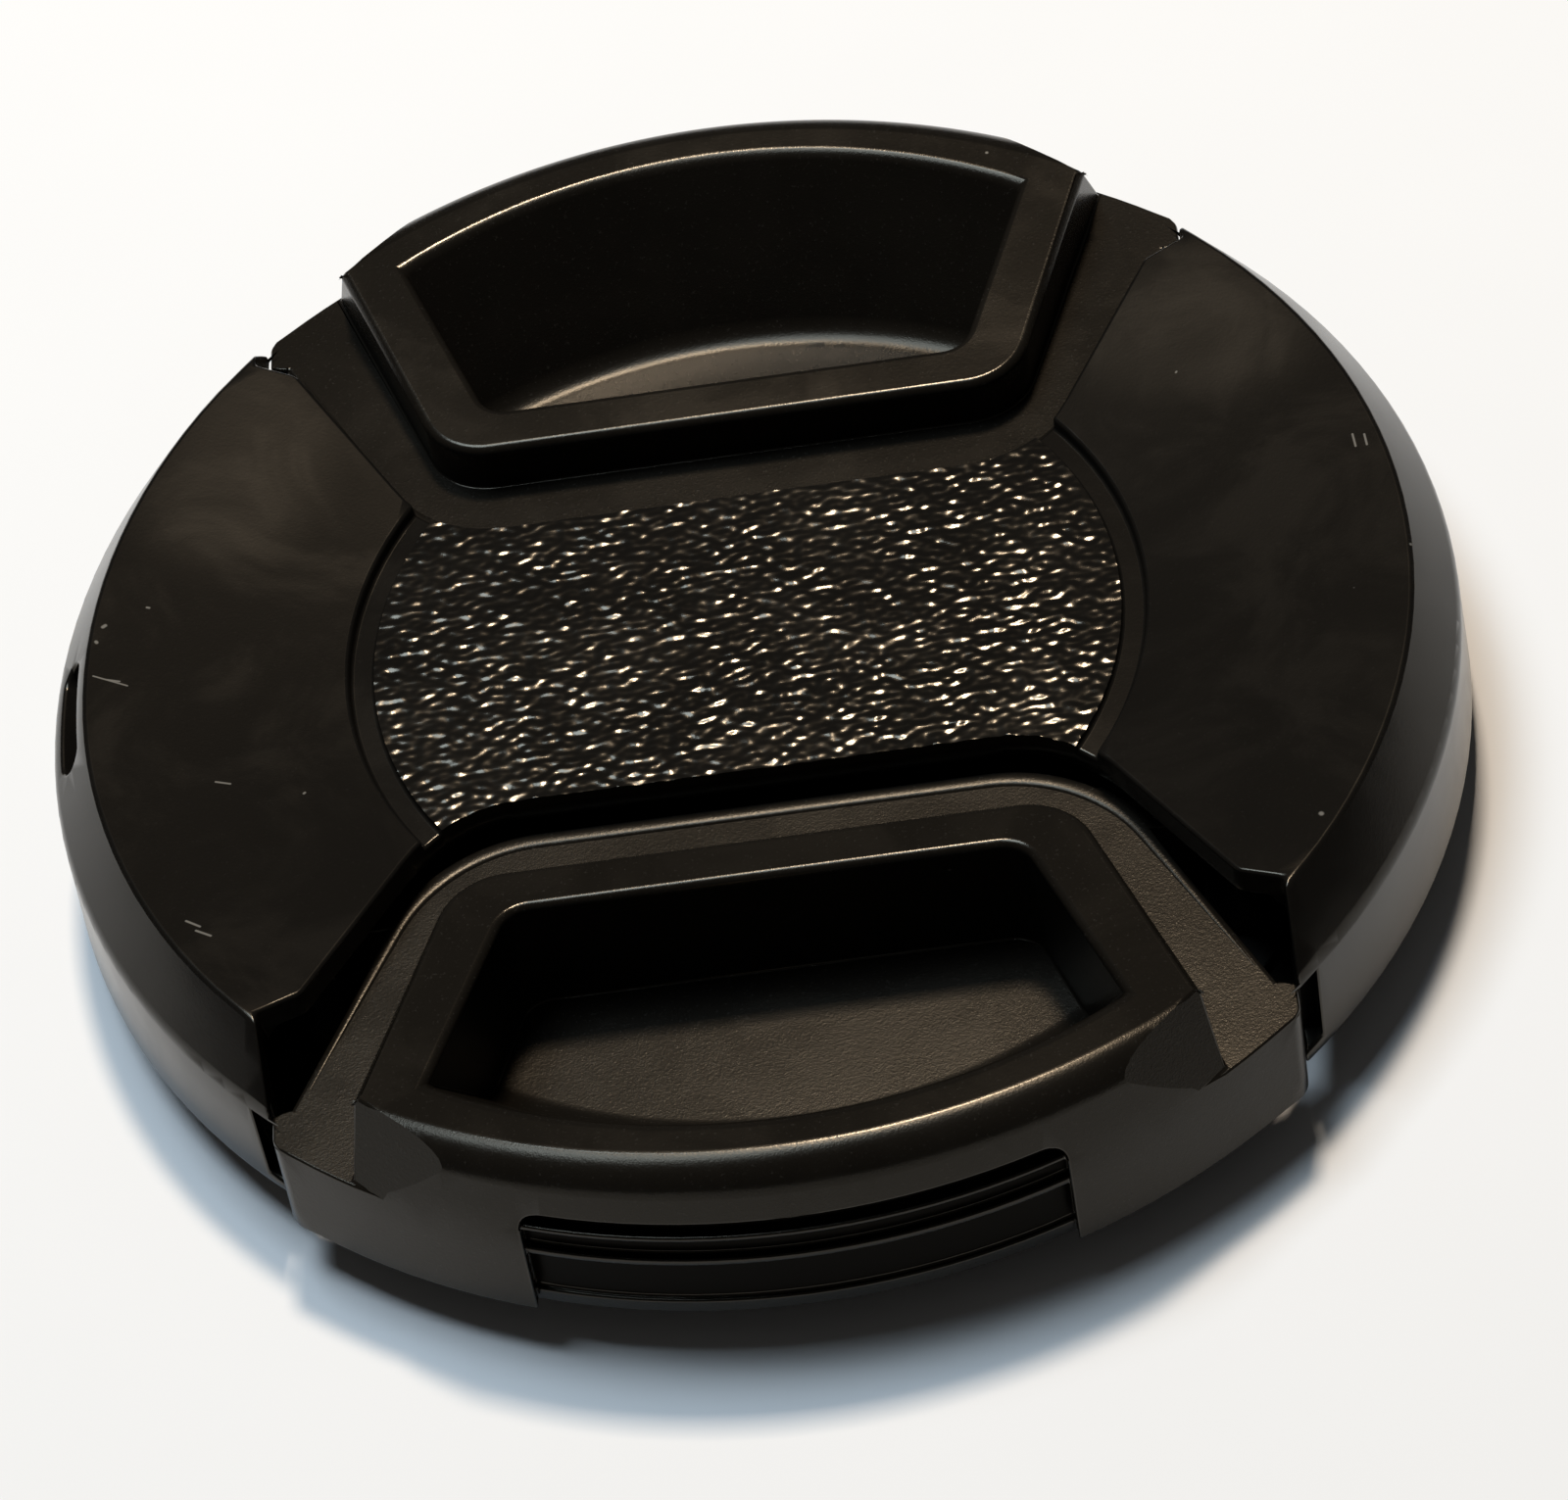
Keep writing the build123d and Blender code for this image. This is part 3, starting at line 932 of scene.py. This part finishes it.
def in_window(face):
    """True for a face of a grip that lies in the ribbed window of its outer wall."""
    x, y, z = face.center / MM
    low, high = WINDOW_Z
    radius, height, lean = WALL_BELOW if z < FLANGE_Z else WALL_ABOVE
    wall = radius - lean * (z - height)
    behind_wall = WINDOW_RADIUS < math.hypot(x, y) < wall - WINDOW_DEPTH
    return abs(x) < WINDOW_HALF_WIDTH and low < z < high and behind_wall


def beside_facet(first, second):
    """True for two faces that meet bluntly where a grip's corner facet runs out into its wall."""
    x, y, z = FACET
    facets = [Vector((right * x, far * y, z)) for right in (-1, 1) for far in (-1, 1)]
    facet = any(face.normal.dot(way) > 0.998 for face in (first, second) for way in facets)
    return facet and first.normal.angle(second.normal) < math.radians(55)


class LENSCAP_OT_grips(bpy.types.Operator):
    """Dress the two pinch grips: rounded edges, a fine sand-like grain, and painted shade in the
    window's recess.
    """

    bl_idname = "lenscap.grips"
    bl_label = "Pinch grips"

    def execute(self, context):
        settings = context.scene.lens_cap_grip
        body = black_plastic(
            "spark_black",
            settings.colour,
            settings.roughness,
            gloss=0.22,
            density=7000.0,
            depth=settings.speckle,
            sparkle=0.35,
        )
        edge = black_plastic(
            "spark_black_edge",
            settings.colour,
            roughness=0.17,
            gloss=0.35,
            density=7000.0,
            depth=0.5 * settings.speckle,
            sparkle=0.3,
        )
        # The window's recess takes the grips' colour darkened to four tenths with almost no shine:
        # painted shade in the recess
        recess_shade = black_plastic(
            "window_black",
            tuple(0.4 * c for c in settings.colour),
            roughness=0.3,
            gloss=0.03,
            density=7000.0,
            depth=0.03,
            sparkle=0.0,
        )
        corner_x, corner_y = WING_CORNER
        for node, side in (("front_grip", -1), ("rear_grip", 1)):
            grip = merged_copy(node, node + "_moulding")
            shape_wings(grip, side)
            round_rim(grip, side, settings.rim_round)
            lip = flange_lip(grip, side)
            round_frame(grip, side, settings.frame_round)
            grip.data.materials.clear()
            for made in (body, edge, recess_shade):
                grip.data.materials.append(made)
            up = frame_plane(side)[1]
            for face in grip.data.polygons:
                # Faces in the window's recess take the third slot, the painted shade
                if in_window(face):
                    face.material_index = 2
                elif face.normal.dot(up) > 0.98 and face.center.z / MM > 8.5:
                    face.material_index = 1
                else:
                    face.material_index = 0
            round_corner(
                grip,
                WING_CORNER_ROUND * MM,
                lambda place: abs(place.x) > corner_x and abs(place.y) > corner_y,
            )
            round_edges(grip, settings.edge_round, 1, beside_facet)
            lip.data.materials.clear()
            lip.data.materials.append(body)
            join(grip, lip)
            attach(grip, node)
            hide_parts(node)
        return {"FINISHED"}


class LENSCAP_OT_back_plate(bpy.types.Operator):
    """Dress the back plate: rounded edges and plain matt black."""

    bl_idname = "lenscap.back_plate"
    bl_label = "Back plate"

    def execute(self, context):
        settings = context.scene.lens_cap_inside
        plate = merged_copy("back_plate", "back_plate_disc")
        for name, roughness, gloss, depth in (
            ("matt_black", 0.45, 0.2, 0.2),
            ("matt_black_edge", 0.4, 0.3, 0.1),
        ):
            plate.data.materials.append(
                black_plastic(
                    name,
                    settings.plate_colour,
                    roughness,
                    gloss,
                    density=4200.0,
                    depth=depth,
                    sparkle=0.1,
                )
            )
        round_edges(plate, settings.plate_edge_round, 1)
        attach(plate, "cap")
        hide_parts("back_plate")
        return {"FINISHED"}


class LENSCAP_OT_springs(bpy.types.Operator):
    """Wind one round-wire coil spring and copy it to the four places."""

    bl_idname = "lenscap.springs"
    bl_label = "Springs"

    def execute(self, context):
        settings = context.scene.lens_cap_inside
        wire = settings.wire / 2
        low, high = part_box("rear_spring_right")
        coil = (high.x - low.x) / 2 - wire
        length = high.y - low.y - 2 * wire
        bpy.ops.object.select_all(action="DESELECT")
        bpy.ops.mesh.primitive_circle_add(
            vertices=WIRE_SIDES, radius=wire, location=(coil, -length / 2, 0)
        )
        master = bpy.context.object
        bpy.ops.object.transform_apply(location=True, rotation=True, scale=True)
        winding = master.modifiers.new("winding", "SCREW")
        winding.axis = "Y"
        winding.angle = math.radians(360) * settings.turns
        winding.screw_offset = length
        winding.steps = STEPS_PER_TURN * settings.turns
        winding.render_steps = STEPS_PER_TURN * settings.turns
        bpy.ops.object.modifier_apply(modifier="winding")
        bpy.ops.object.mode_set(mode="EDIT")
        bpy.ops.mesh.select_mode(type="EDGE")
        select_open_edges()
        bpy.ops.mesh.fill_holes(sides=0)
        face_outwards()
        bpy.ops.object.shade_smooth_by_angle(angle=SMOOTH_FINE)
        master.data.materials.append(spring_steel(settings.wire_colour))
        places = [(end, side) for end in ("rear", "front") for side in ("left", "right")]
        for end, side in places:
            node = end + "_spring_" + side
            first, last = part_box(node)
            spring = bpy.data.objects.new(node + "_wire", master.data.copy())
            context.scene.collection.objects.link(spring)
            turn = Matrix.Rotation(math.pi, 4, "Z") if end == "front" else Matrix.Identity(4)
            spring.data.transform(Matrix.Translation((first + last) / 2) @ turn)
            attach(spring, "cap")
            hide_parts(node)
            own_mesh(spring)
        bpy.data.objects.remove(master)
        return {"FINISHED"}


def area_lamp(name, towards, distance, size, power, colour):
    """Add a soft square lamp that shines on the cap from the given direction."""
    lamp = bpy.data.objects.new(name, bpy.data.lights.new(name, "AREA"))
    bpy.context.scene.collection.objects.link(lamp)
    lamp.data.size = size
    lamp.data.energy = power
    lamp.data.color = colour
    aim = Vector(towards).normalized()
    lamp.location = aim * distance
    lamp.rotation_euler = aim.to_track_quat("Z", "Y").to_euler()


class LENSCAP_OT_stage(bpy.types.Operator):
    """Set the table, the lamps, the sky and the camera."""

    bl_idname = "lenscap.stage"
    bl_label = "Stage"

    def execute(self, context):
        settings = context.scene.lens_cap_stage
        bpy.ops.object.select_all(action="DESELECT")
        bpy.ops.mesh.primitive_plane_add(size=3)
        table = bpy.context.object
        table.name = "table"
        top, tree, surface, place = new_material("pale_table")
        surface.inputs["Roughness"].default_value = 0.75
        fibre = add_node(
            tree, "ShaderNodeTexNoise", {"Vector": place, "Scale": 60.0, "Detail": 5.0}
        )
        colour = settings.table_colour
        paler = tuple(min(1.0, c * 1.03) for c in colour)
        mottled = mix_colours(tree, fibre.outputs["Fac"], (*colour, 1), (*paler, 1))
        tree.links.new(mottled, surface.inputs["Base Color"])
        table.data.materials.append(top)

        area_lamp(
            "warm_lamp",
            towards=(0.03, 0.37, 0.93),
            distance=0.6,
            size=0.07,
            power=settings.warm_power,
            colour=(1.0, 0.83, 0.65),
        )
        area_lamp(
            "cool_lamp",
            towards=(-0.21, 0.195, 0.958),
            distance=0.6,
            size=0.24,
            power=settings.cool_power,
            colour=(0.72, 0.87, 1.0),
        )

        sky = bpy.data.worlds.new("sky")
        context.scene.world = sky
        sky.use_nodes = True
        background = sky.node_tree.nodes["Background"]
        background.inputs["Color"].default_value = (1.0, 0.97, 0.93, 1)
        background.inputs["Strength"].default_value = settings.sky

        # Camera as solved from the outlines in the photograph
        camera = bpy.data.objects.new("camera", bpy.data.cameras.new("camera"))
        context.scene.collection.objects.link(camera)
        camera.data.sensor_fit = "HORIZONTAL"
        camera.data.sensor_width = 36
        camera.data.lens = 128.25
        right = (0.98955, -0.06220, -0.13012)
        up = (0.13245, 0.74901, 0.64918)
        back = (0.05709, -0.65964, 0.74942)
        view = Matrix((right, up, back)).transposed().to_4x4()
        view.translation = (0.01333, -0.14755, 0.16824)
        camera.matrix_world = view
        context.scene.camera = camera
        context.scene.view_settings.view_transform = "Standard"
        return {"FINISHED"}


class LENSCAP_PT_panel(bpy.types.Panel):
    """Sidebar panel that lists the pieces and their settings."""

    bl_idname = "LENSCAP_PT_panel"
    bl_label = "Lens cap"
    bl_space_type = "VIEW_3D"
    bl_region_type = "UI"
    bl_category = "Lens cap"

    def draw(self, context):
        scene = context.scene
        for settings, operators in (
            (scene.lens_cap_shell, (LENSCAP_OT_front_shell,)),
            (scene.lens_cap_grip, (LENSCAP_OT_grips,)),
            (scene.lens_cap_inside, (LENSCAP_OT_back_plate, LENSCAP_OT_springs)),
            (scene.lens_cap_stage, (LENSCAP_OT_stage,)),
        ):
            box = self.layout.box()
            for key in settings.__annotations__:
                box.prop(settings, key)
            for operator in operators:
                box.operator(operator.bl_idname)


CLASSES = (
    ShellSettings,
    GripSettings,
    InsideSettings,
    StageSettings,
    LENSCAP_OT_front_shell,
    LENSCAP_OT_grips,
    LENSCAP_OT_back_plate,
    LENSCAP_OT_springs,
    LENSCAP_OT_stage,
    LENSCAP_PT_panel,
)


def register():
    """Register the classes and hang their settings on the scene."""
    for item in CLASSES:
        bpy.utils.register_class(item)
    bpy.types.Scene.lens_cap_shell = PointerProperty(type=ShellSettings)
    bpy.types.Scene.lens_cap_grip = PointerProperty(type=GripSettings)
    bpy.types.Scene.lens_cap_inside = PointerProperty(type=InsideSettings)
    bpy.types.Scene.lens_cap_stage = PointerProperty(type=StageSettings)


def unregister():
    """Undo what register did."""
    del bpy.types.Scene.lens_cap_stage
    del bpy.types.Scene.lens_cap_inside
    del bpy.types.Scene.lens_cap_grip
    del bpy.types.Scene.lens_cap_shell
    for item in reversed(CLASSES):
        bpy.utils.unregister_class(item)


def main():
    """Build the lens cap and its stage."""
    register()
    make_moulded_grain()
    make_handling_haze()
    make_mark()
    bpy.ops.lenscap.front_shell()
    bpy.ops.lenscap.grips()
    bpy.ops.lenscap.back_plate()
    bpy.ops.lenscap.springs()
    bpy.ops.lenscap.stage()


if __name__ == "__main__":
    main()
